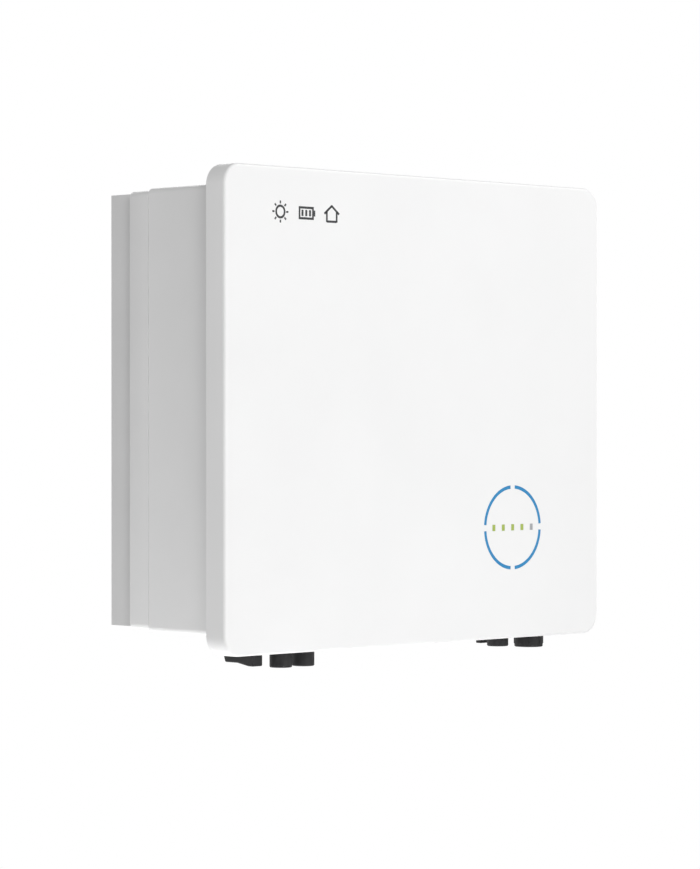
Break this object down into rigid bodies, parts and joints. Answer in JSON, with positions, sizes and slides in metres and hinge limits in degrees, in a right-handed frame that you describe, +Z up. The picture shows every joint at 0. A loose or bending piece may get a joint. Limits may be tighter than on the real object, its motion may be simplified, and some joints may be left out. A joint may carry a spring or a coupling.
{
  "type": "wall-mounted solar inverter",
  "caption": "Wall-hung solar and battery inverter: bracket, finned heat sink, sealed housing with its electronics, front cover with status lights, and plug sockets and a DC switch underneath.",
  "frame": {"origin": "on the wall, at the middle of the bracket's back face across the width and at half the height of the front cover", "axes": "+X across the front to the right as seen from the front, +Y back into the wall, +Z up"},
  "size_m": [0.528, 0.202, 0.4785],
  "materials": {
    "cover_white": "satin moulded white",
    "cast_grey": "pale grey powder coat on cast aluminium",
    "bare_aluminium": "plain sheet",
    "zinc_steel": "zinc plated",
    "screw_steel": "stainless",
    "black_plastic": "fine textured",
    "black_rubber": "matt",
    "cable_grey": "flat ribbon",
    "blue_guide": "clear blue light guide",
    "green_guide": "clear green light guide",
    "circuit_board": "solder mask",
    "capacitor_sleeve": "shrink sleeve",
    "coil_copper": "enamelled winding",
    "ferrite": "ground ferrite",
    "relay_case": "moulded",
    "module_case": "moulded"
  },
  "bodies": {
    "bracket": {"wall_bracket": "zinc_steel"},
    "inverter": {"hanger_rail": "zinc_steel", "hanger_screw_left": "screw_steel", "hanger_screw_right": "screw_steel", "lower_spacer_left": "black_rubber", "lower_spacer_right": "black_rubber", "heat_sink": "cast_grey", "heat_sink_gasket": "black_rubber", "housing": "cast_grey", "earth_screw": "screw_steel", "lid_plate": "bare_aluminium", "lid_gasket": "black_rubber", "lid_grommet": "black_rubber", "lid_screw_1": "screw_steel", "lid_screw_2": "screw_steel", "lid_screw_3": "screw_steel", "lid_screw_4": "screw_steel", "power_board": "circuit_board", "dc_link_capacitor_1": "capacitor_sleeve", "dc_link_capacitor_2": "capacitor_sleeve", "dc_link_capacitor_3": "capacitor_sleeve", "dc_link_capacitor_4": "capacitor_sleeve", "boost_inductor_1": "coil_copper", "boost_inductor_2": "coil_copper", "output_inductor_1": "coil_copper", "output_inductor_2": "coil_copper", "battery_transformer": "ferrite", "emi_choke": "coil_copper", "relay_1": "relay_case", "relay_2": "relay_case", "fan_frame": "black_plastic", "power_module_1": "module_case", "power_module_2": "module_case", "control_board_bracket": "zinc_steel", "control_board": "circuit_board", "pv_socket_1_plus": "black_plastic", "pv_socket_1_minus": "black_plastic", "pv_socket_2_plus": "black_plastic", "pv_socket_2_minus": "black_plastic", "battery_socket_plus": "black_plastic", "battery_socket_minus": "black_plastic", "grid_socket": "black_plastic", "backup_socket": "black_plastic", "com_gland_body": "black_plastic", "com_gland_seal": "black_rubber", "logger_port": "black_plastic", "vent_valve": "black_plastic", "dc_switch_plate": "black_plastic", "dc_switch_body": "module_case"},
    "cover": {"front_cover": "cover_white", "ring_light_guide": "blue_guide", "level_light_guide": "green_guide", "indicator_board": "circuit_board", "indicator_cable": "cable_grey"},
    "switch_knob": {"dc_switch_knob": "black_plastic"},
    "fan": {"fan_rotor": "black_plastic"},
    "cap_of_grid_socket": {"grid_cap": "black_plastic"},
    "cap_of_logger_port": {"logger_port_cap": "black_plastic"},
    "lock_ring": {"backup_lock_ring": "black_plastic"},
    "gland_nut": {"com_gland_nut": "black_plastic"}
  },
  "joints": [
    {"name": "lift_off", "type": "slide", "parent": "bracket", "child": "inverter", "axis": [0, 0, 1], "range_m": [0, 0.03]},
    {"name": "cover_pull", "type": "slide", "parent": "inverter", "child": "cover", "axis": [0, -1, 0], "range_m": [0, 0.03]},
    {"name": "dc_switch_turn", "type": "hinge", "parent": "inverter", "child": "switch_knob", "pos_m": [-0.1656, -0.122, -0.23], "axis": [0, 0, 1], "range_deg": [0, 90]},
    {"name": "fan_spin", "type": "hinge", "parent": "inverter", "child": "fan", "pos_m": [0.16, -0.0963, 0.125], "axis": [0, 0, 1], "continuous": true},
    {"name": "grid_cap_pull", "type": "slide", "parent": "inverter", "child": "cap_of_grid_socket", "axis": [0, 0, -1], "range_m": [0, 0.03]},
    {"name": "logger_cap_pull", "type": "slide", "parent": "inverter", "child": "cap_of_logger_port", "axis": [0, 0, -1], "range_m": [0, 0.028]},
    {"name": "lock_ring_turn", "type": "hinge", "parent": "inverter", "child": "lock_ring", "pos_m": [0.176, -0.142, -0.2255], "axis": [0, 0, 1], "range_deg": [0, 60]},
    {"name": "gland_nut_turn", "type": "hinge", "parent": "inverter", "child": "gland_nut", "pos_m": [0.066, -0.11, -0.2255], "axis": [0, 0, 1], "range_deg": [0, 360]}
  ]
}
